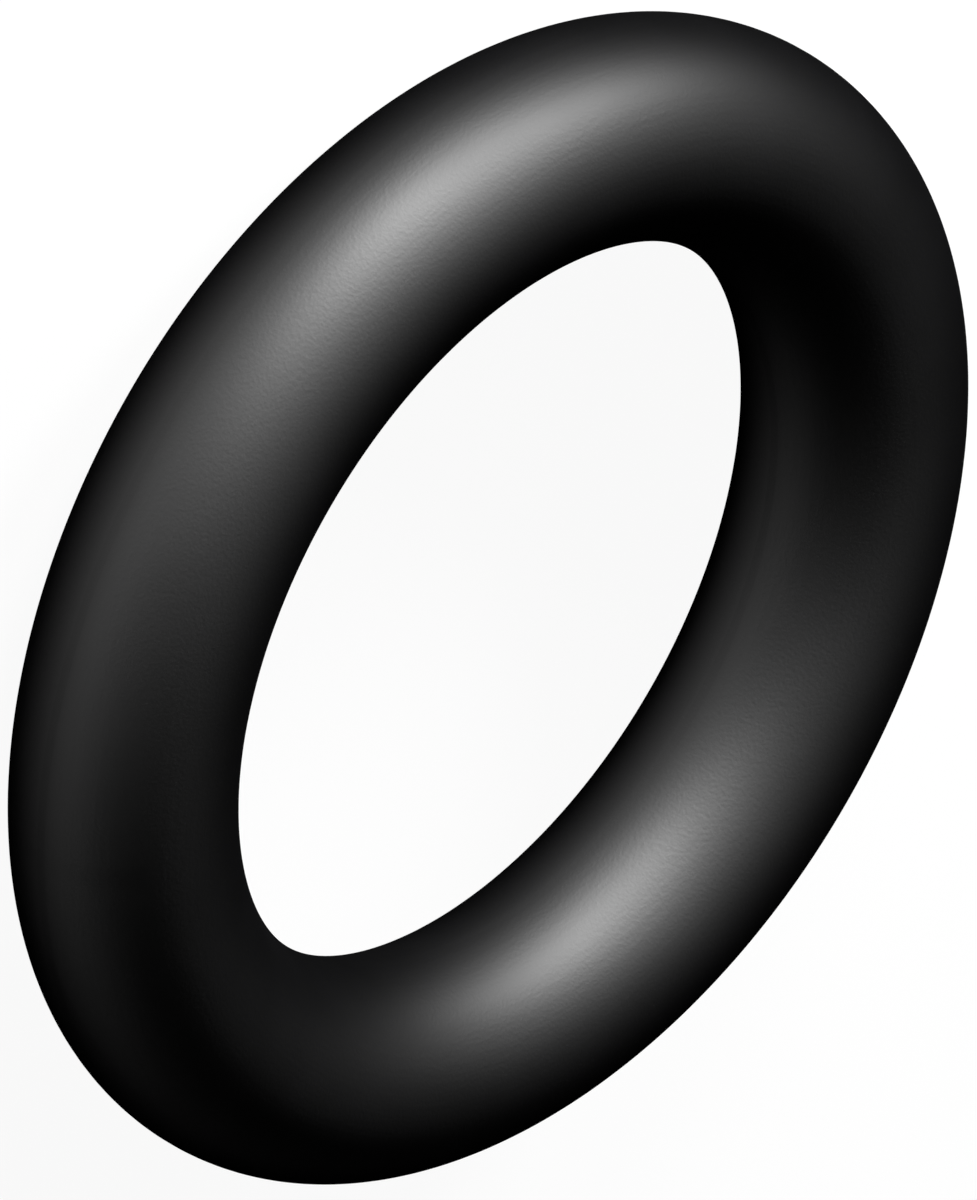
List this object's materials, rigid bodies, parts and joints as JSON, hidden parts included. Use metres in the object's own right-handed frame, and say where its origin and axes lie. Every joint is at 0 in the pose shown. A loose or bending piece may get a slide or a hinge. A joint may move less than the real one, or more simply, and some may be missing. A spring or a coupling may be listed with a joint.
{
  "type": "o-ring",
  "caption": "Round-section moulded rubber o-ring that seals a shaft, spigot or flange when it is squeezed in its groove.",
  "frame": {"origin": "the centre of the ring's hole, at mid-thickness", "axes": "+Z is the axis of the ring, which lies flat on its side; X and Y are radial, and any turn about Z looks the same"},
  "size_m": [0.0144, 0.0144, 0.0026],
  "materials": {
    "black_rubber": "black nitrile rubber, smooth moulded skin with a soft satin sheen"
  },
  "bodies": {
    "root": {"o_ring": "black_rubber"}
  },
  "joints": []
}
